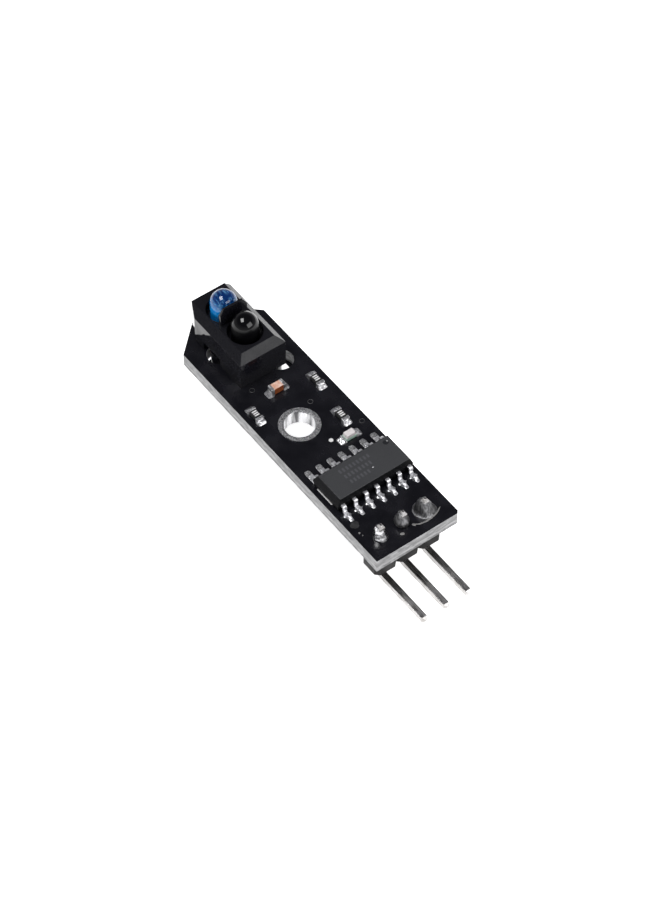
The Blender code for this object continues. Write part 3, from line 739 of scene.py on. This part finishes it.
def chip():
    """The moulding, its top drawn in to match the photo, with one bright fleck on it."""
    low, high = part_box("comparator_chip")
    middle_y = (low.y + high.y) / 2
    bm = cad_copy("comparator_chip")
    for vert in bm.verts:
        if vert.co.z > (low.z + high.z) / 2 + 0.2 * MM:
            vert.co.y = middle_y + (vert.co.y - middle_y) * CHIP_END_DRAFT
            back = (high.x - vert.co.x) / (high.x - low.x)
            vert.co.x += CHIP_BACK_DRAFT * back
    # side faces get the darker copy: painted shade below the lighter top
    bm = second_look(round_long_edges(bm, MM), lambda normal: normal.z < 0.9)
    add_piece("chip_moulding", bm, (CHIP_PLASTIC, CHIP_SIDE_SHADED), ("comparator_chip",),
              0.09 * MM, 3, DIMPLE_ANGLE)
    x, y = (low.x + high.x) / 2 + 0.55 * MM, middle_y + 0.6 * MM
    fleck = block((x, y, high.z), (x + 0.12 * MM, y + 0.16 * MM, high.z + 0.03 * MM))
    add_piece("chip_fleck", fleck, (BRIGHT_SOLDER,), bevel=0.02 * MM)


def chip_dimple():
    """The polished bowl that marks the first lead's corner."""
    low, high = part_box("comparator_chip")
    x, y, radius = (value * MM for value in CHIP_DIMPLE)
    bowl = [(radius, -0.048 * MM), (radius, -0.002 * MM), (radius * 0.85, -0.026 * MM),
            (radius * 0.6, -0.04 * MM), (radius * 0.3, -0.045 * MM), (0.0, -0.046 * MM),
            (0.0, -0.048 * MM)]
    dish = turned(bowl, (low.x + x, high.y - y, high.z), 48)
    add_piece("chip_dimple", dish, (CHIP_POLISH,))


def chip_lead(node, middle):
    """One gull-wing lead with its pad and solder; the lead is drawn pointing to +X and turned."""
    low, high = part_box(node)
    side = 1 if (low.x + high.x) / 2 > middle.x else -1
    reach = max(abs(high.x - middle.x), abs(low.x - middle.x))
    start = min(abs(high.x - middle.x), abs(low.x - middle.x)) - 0.12 * MM
    half = CHIP_LEAD_THICKNESS / 2
    shoulder = high.z - TOP - half
    foot = low.z - TOP + half
    knee = reach - CHIP_FOOT
    bend = CHIP_LEAD_BEND
    path = [(start, shoulder), (start + 0.2 * MM, shoulder)]
    path += arc((start + 0.24 * MM, shoulder - bend), bend, 80, 10, 6)
    path += arc((knee + 0.04 * MM, foot + bend), bend, 190, 262, 6)
    path += [(knee + 0.14 * MM, foot), (reach, foot)]
    turn = Matrix.Rotation(math.pi if side < 0 else 0.0, 4, "Z")
    place = Matrix.Translation((middle.x, (low.y + high.y) / 2, TOP)) @ turn
    width = high.y - low.y
    shape = placed(bar(path, width, CHIP_LEAD_THICKNESS), place)
    add_piece(node + "_wing", shape, (TIN_PLATE,), (node,), 0.03 * MM, 2)

    near = side > 0
    length = CHIP_PAD_OUTER - CHIP_PAD_INNER + (0.0 if near else 0.2 * MM)
    tip = reach - CHIP_PAD_INNER
    heel = knee - CHIP_PAD_INNER
    seed = low.y * 3 + side * MM
    climb = 1.0 if near else 0.25

    def height(x, y):
        beside = math.exp(-(max(abs(y) - width * 0.45, 0.0) / (0.09 * MM)) ** 2)
        along = 1.0 if heel - 0.05 * MM < x < tip else math.exp(
            -((x - tip if x > tip else heel - 0.05 * MM - x) / (0.17 * MM)) ** 2)
        toe = math.exp(-((x - tip) / (0.2 * MM)) ** 2) * math.exp(-(y / (0.24 * MM)) ** 2)
        uneven = ripple((x + seed, y + seed, seed), 0.22 * MM, 0.03 * MM)
        return 0.03 * MM + climb * (0.11 * MM * beside * along + 0.14 * MM * toe) + uneven

    def flare(x):
        return 0.72 + 0.68 * math.exp(-((x - heel - 0.3 * MM) / (0.17 * MM)) ** 2) if near else 1.05

    joint = placed(heightfield(length, CHIP_PAD_WIDTH, height, flare),
                   place @ Matrix.Translation((CHIP_PAD_INNER, 0, 0)))
    # the far row takes the darker solder: painted shade
    look = BRIGHT_SOLDER if near else SHADED_PAD_SOLDER
    add_piece(node + "_joint", joint, (look,))


def chip_marking():
    """A faint laser mark: three rows of plain dashes in place of lettering."""
    low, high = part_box("comparator_chip")
    x = (low.x + high.x) / 2
    dash, gap, stroke = 0.2 * MM, 0.2 * MM, 0.22 * MM
    rows = ((0.75 * MM, 9, -0.5 * MM), (0.0, 8, -0.6 * MM), (-0.75 * MM, 6, -0.9 * MM))
    bm = bmesh.new()
    for offset, count, shift in rows:
        first = (low.y + high.y) / 2 + shift - (count * (dash + gap) - gap) / 2
        for i in range(count):
            y = first + i * (dash + gap)
            corners = ((x - offset - stroke, y), (x - offset + stroke, y),
                       (x - offset + stroke, y + dash), (x - offset - stroke, y + dash))
            add_loft(bm, [[(cx, cy, z) for cx, cy in corners]
                          for z in (high.z - 0.01 * MM, high.z + 0.003 * MM)])
    add_piece("chip_mark_rows", bm, (CHIP_MARK,))


# ---------------------------------------------------------------- chip components

def end_joint(name, place, turn, side, part_half, part_height):
    """Solder that climbs a part's end from its pad."""
    length = PART_PAD_REACH - PART_PAD_INNER
    face = part_half - PART_PAD_INNER
    seed = place[0] * 5 + side * MM

    def height(x, y):
        out = max(x - face, 0.0)
        climb = math.exp(-(out / (0.16 * MM))) * (1 - (2 * y / PART_PAD_WIDTH) ** 4)
        swell = 0.09 * MM * math.exp(-((x - face - 0.18 * MM) / (0.2 * MM)) ** 2)
        uneven = ripple((x + seed, y, seed), 0.25 * MM, 0.025 * MM)
        return 0.03 * MM + 0.62 * part_height * climb + swell + uneven

    spin = Matrix.Rotation(turn + (math.pi if side < 0 else 0.0), 4, "Z")
    outwards = Matrix.Translation((PART_PAD_INNER, 0, 0))
    matrix = Matrix.Translation((place[0], place[1], TOP)) @ spin @ outwards
    mound = placed(heightfield(length, PART_PAD_WIDTH, height), matrix)
    add_piece(name, mound, (PART_SOLDER,))


def end_cap(node):
    low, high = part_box(node)
    lift = 0.012 * MM
    cap = block((low.x - lift, low.y - lift, TOP + PAD_THICKNESS * 0.5),
                (high.x + lift, high.y + lift, high.z))
    add_piece(node + "_cap", cap, (CAP_PLATE,), (node,), 0.05 * MM, 3)


def two_terminal(name, along_y):
    """End caps and solder joints of a chip part; returns its middle."""
    ends = [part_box(f"{name}_end_{label}") for label in ("a", "b")]
    middle = sum((low + high for low, high in ends), Vector()) / 4
    axis = 1 if along_y else 0
    half = (ends[1][1][axis] - ends[0][0][axis]) / 2
    height = ends[0][1].z - TOP
    turn = math.pi / 2 if along_y else 0.0
    for label, side in (("a", -1), ("b", 1)):
        end_cap(f"{name}_end_{label}")
        end_joint(f"{name}_joint_{label}", middle, turn, side, half, height)
    return middle


def resistor(number):
    name = f"resistor_{number}"
    middle = two_terminal(name, False)
    low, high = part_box(name + "_body")
    base = block((low.x - 0.05 * MM, low.y, TOP + 0.05 * MM),
                 (high.x + 0.05 * MM, high.y, high.z - 0.05 * MM))
    add_piece(name + "_ceramic", base, (BLACK_GLAZE,), (name + "_body",), 0.02 * MM)
    edge = 0.03 * MM
    coat = block((low.x - 0.02 * MM, low.y + edge, high.z - 0.06 * MM),
                 (high.x + 0.02 * MM, high.y - edge, high.z + 0.01 * MM))
    add_piece(name + "_overcoat", coat, (BLACK_GLAZE,), bevel=0.025 * MM, segments=3)
    bm = bmesh.new()
    for i in (-1, 0, 1):
        x = middle.x + i * MARK_PITCH
        corners = ((x - MARK_HALF_X, middle.y - MARK_HALF_Y), (x + MARK_HALF_X, middle.y - MARK_HALF_Y),
                   (x + MARK_HALF_X, middle.y + MARK_HALF_Y), (x - MARK_HALF_X, middle.y + MARK_HALF_Y))
        add_loft(bm, [[(cx, cy, z) for cx, cy in corners] for z in (high.z, high.z + 0.02 * MM)])
    add_piece(name + "_bars", bm, (INK,))


def capacitor():
    two_terminal("capacitor", True)
    low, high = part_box("capacitor_body")
    body = block((low.x, low.y - 0.05 * MM, TOP + 0.05 * MM), (high.x, high.y + 0.05 * MM, high.z))
    # top faces take the lighter copy: painted light on the top, while the sides keep the deeper tan
    second_look(body, lambda normal: normal.z > 0.9)
    add_piece("capacitor_ceramic", body, (TAN_CERAMIC, TAN_CERAMIC_LIT_TOP), ("capacitor_body",),
              0.04 * MM, 3)


def indicator():
    middle = two_terminal("indicator_led", True)
    low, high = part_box("indicator_led_body")
    base = block((low.x, low.y - 0.04 * MM, TOP + 0.05 * MM), (high.x, high.y + 0.04 * MM, high.z))
    add_piece("indicator_laminate", base, (GREEN_LAMINATE,), ("indicator_led_body",), 0.02 * MM)
    low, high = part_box("indicator_led_lens")
    draft = 0.07 * MM
    rings = [[(x, y, z) for x, y in ((low.x + i, low.y + i), (high.x - i, low.y + i),
                                     (high.x - i, high.y - i), (low.x + i, high.y - i))]
             for i, z in ((0.0, low.z - 0.015 * MM), (draft, high.z))]
    add_piece("indicator_lens", loft(rings), (LENS_RESIN,), ("indicator_led_lens",), 0.1 * MM, 4)
    foot = (middle.x, middle.y, low.z)
    pad = offset_block(foot, INDICATOR_PAD)
    add_piece("indicator_die_pad", pad, (TIN_PLATE,), bevel=0.008 * MM)
    die = offset_block(foot, INDICATOR_DIE)
    add_piece("indicator_die", die, (TAN_CERAMIC,), bevel=0.008 * MM)


# ---------------------------------------------------------------- header

def header():
    add_piece("header_block", cad_copy("header_insulator"), (HEADER_PLASTIC,), ("header_insulator",),
              0.06 * MM, 3)
    for i in (1, 2, 3):
        node = f"header_pin_{i}"
        low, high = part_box(node)
        side = high.y - low.y
        y = (low.y + high.y) / 2
        run = low.z + side / 2
        x = low.x + side / 2
        radius = PIN_BEND_RADIUS
        path = [(x, high.z), (x, high.z - PIN_TOP_LENGTH), (x, run + radius + PIN_TOP_LENGTH)]
        path += arc((x + radius, run + radius), radius, 180, 270, 14)
        path += [(high.x - PIN_TIP_LENGTH, run), (high.x, run)]
        shape = bar(path, side, side, {0: 0.45, len(path) - 1: 0.4})
        add_piece(node + "_wire", placed(shape, Matrix.Translation((0, y, 0))), (PIN_METAL,), (node,),
                  0.045 * MM, 3)


def header_cone(number, profile, look, uneven, streaks):
    """Solder round one pin, from (radius, height) points, uneven and streaked by that much."""
    node = f"header_solder_{number}"
    middle = centre_of(node)
    scaled = [(radius * MM, height * MM) for radius, height in profile]
    peak = scaled[-1][1]

    def wobble(angle, radius, height):
        around = (math.cos(angle) * MM, math.sin(angle) * MM, height * 0.3 + number * MM)
        fine = ripple(around, 0.22 * MM, streaks) * min(1.0, height / (0.3 * MM))
        return (ripple(around, 0.8 * MM, uneven) + fine) * min(1.0, radius / (0.7 * MM))

    bm = turned(scaled, (middle.x, middle.y, TOP), 64, wobble)
    for vert in bm.verts:
        rise = (vert.co.z - TOP) / peak
        vert.co.x += SOLDER_LEAN[0] * rise
        vert.co.y += SOLDER_LEAN[1] * rise
    add_piece(node + "_cone", bm, (look,), (node,))


def header_solder():
    nub = ((0.78, 0.0), (0.77, 0.1), (0.68, 0.24), (0.6, 0.45), (0.54, 0.7), (0.48, 0.95), (0.42, 1.15),
           (0.36, 1.32), (0.26, 1.5), (0.0, 1.54))
    egg = ((0.62, 0.0), (0.7, 0.12), (0.74, 0.32), (0.7, 0.58), (0.6, 0.85), (0.46, 1.1), (0.36, 1.26),
           (0.32, 1.45), (0.24, 1.6), (0.0, 1.63))
    cone = ((1.12, 0.0), (1.02, 0.05), (0.9, 0.18), (0.8, 0.4), (0.73, 0.65), (0.66, 0.9), (0.56, 1.12),
            (0.44, 1.32), (0.32, 1.45), (0.0, 1.5))
    header_cone(1, nub, CONE_SOLDER, 0.06 * MM, 0.06 * MM)
    header_cone(2, egg, DULL_SOLDER, 0.05 * MM, 0.04 * MM)
    header_cone(3, cone, DULL_SOLDER, 0.12 * MM, 0.06 * MM)


# ---------------------------------------------------------------- camera, light and floor

def direction(azimuth, elevation):
    """Unit vector from the object, azimuth 0 towards -Y and 90 towards +X, in degrees."""
    a, e = math.radians(azimuth), math.radians(elevation)
    return Vector((math.sin(a) * math.cos(e), -math.cos(a) * math.cos(e), math.sin(e)))


def camera():
    data = bpy.data.cameras.new("camera")
    data.lens = CAMERA_LENS
    data.clip_start = 0.01
    data.clip_end = 10.0
    back = direction(CAMERA_AZIMUTH, CAMERA_ELEVATION)
    made = bpy.data.objects.new("camera", data)
    made.location = CAMERA_AIM + back * CAMERA_DISTANCE
    made.rotation_euler = (-back).to_track_quat("-Z", "Y").to_euler()
    bpy.context.scene.collection.objects.link(made)
    bpy.context.scene.camera = made


def softbox(name, azimuth, elevation, width, height, radiance):
    """An area light aimed at the board, whose power gives it that radiance."""
    away = direction(azimuth, elevation)
    data = bpy.data.lights.new(name, "AREA")
    data.shape = "RECTANGLE"
    data.size, data.size_y = width, height
    data.energy = radiance * math.pi * width * height
    made = bpy.data.objects.new(name, data)
    made.location = CAMERA_AIM + away * SOFTBOX_DISTANCE
    made.rotation_euler = (-away).to_track_quat("-Z", "Y").to_euler()
    bpy.context.scene.collection.objects.link(made)


def studio_world():
    """A soft horizon that darkens overhead."""
    world = bpy.data.worlds.new("studio")
    bpy.context.scene.world = world
    world.use_nodes = True
    nodes, links = world.node_tree.nodes, world.node_tree.links
    split = nodes.new("ShaderNodeSeparateXYZ")
    links.new(nodes.new("ShaderNodeTexCoord").outputs["Generated"], split.inputs[0])
    ramp = nodes.new("ShaderNodeValToRGB")
    ramp.color_ramp.elements[0].position = 0.0
    ramp.color_ramp.elements[0].color = (0.42, 0.42, 0.43, 1.0)
    ramp.color_ramp.elements[1].position = 0.6
    ramp.color_ramp.elements[1].color = (0.09, 0.09, 0.1, 1.0)
    links.new(split.outputs["Z"], ramp.inputs["Fac"])
    links.new(ramp.outputs["Color"], nodes["Background"].inputs["Color"])


def pool_of_light(look):
    """Floor glow that is even near the module and fades further out."""
    nodes, links = look.nodes, look.links
    length = nodes.new("ShaderNodeVectorMath")
    length.operation = "LENGTH"
    links.new(look.position, length.inputs[0])
    glow = look.remap(length.outputs["Value"], FLOOR_GLOW, FLOOR_GLOW * 0.3, 0.08, 0.35)
    links.new(glow, look.shader.inputs["Emission Strength"])
    look.shader.inputs["Emission Color"].default_value = (1.0, 1.0, 1.0, 1.0)


def floor():
    bm = bmesh.new()
    bmesh.ops.create_grid(bm, x_segments=2, y_segments=2, size=FLOOR_HALF)
    mesh = bpy.data.meshes.new("floor")
    bm.to_mesh(mesh)
    bm.free()
    look = Look("pale_floor", (0.8, 0.8, 0.8), 0.9)
    pool_of_light(look)
    mesh.materials.append(look.material)
    made = bpy.data.objects.new("floor", mesh)
    made.location.z = -FLOOR_GAP
    bpy.context.scene.collection.objects.link(made)


def main():
    board()
    eyelet()
    for number, place in enumerate(VIAS, 1):
        via(number, place)
    printed_marks()
    flux()
    under_traces()
    sensor_housing()
    optical_cell("emitter_dome", "emitter_cell", BLUE_RESIN)
    optical_cell("receiver_dome", "receiver_cell", DARK_RESIN)
    emitter_inside()
    sensor_leads()
    chip()
    chip_dimple()
    chip_marking()
    chip_middle = centre_of("comparator_chip")
    for node in sorted(n for n in NODES if n.startswith("chip_lead")):
        chip_lead(node, chip_middle)
    for number in (1, 2, 3):
        resistor(number)
    capacitor()
    indicator()
    header()
    header_solder()
    camera()
    studio_world()
    softbox("overhead_softbox", -32.0, 70.0, 0.22, 0.15, 11.0)
    softbox("side_softbox", 105.0, 34.0, 0.32, 0.24, 3.4)
    floor()
    bpy.context.scene.view_settings.view_transform = "Standard"


main()
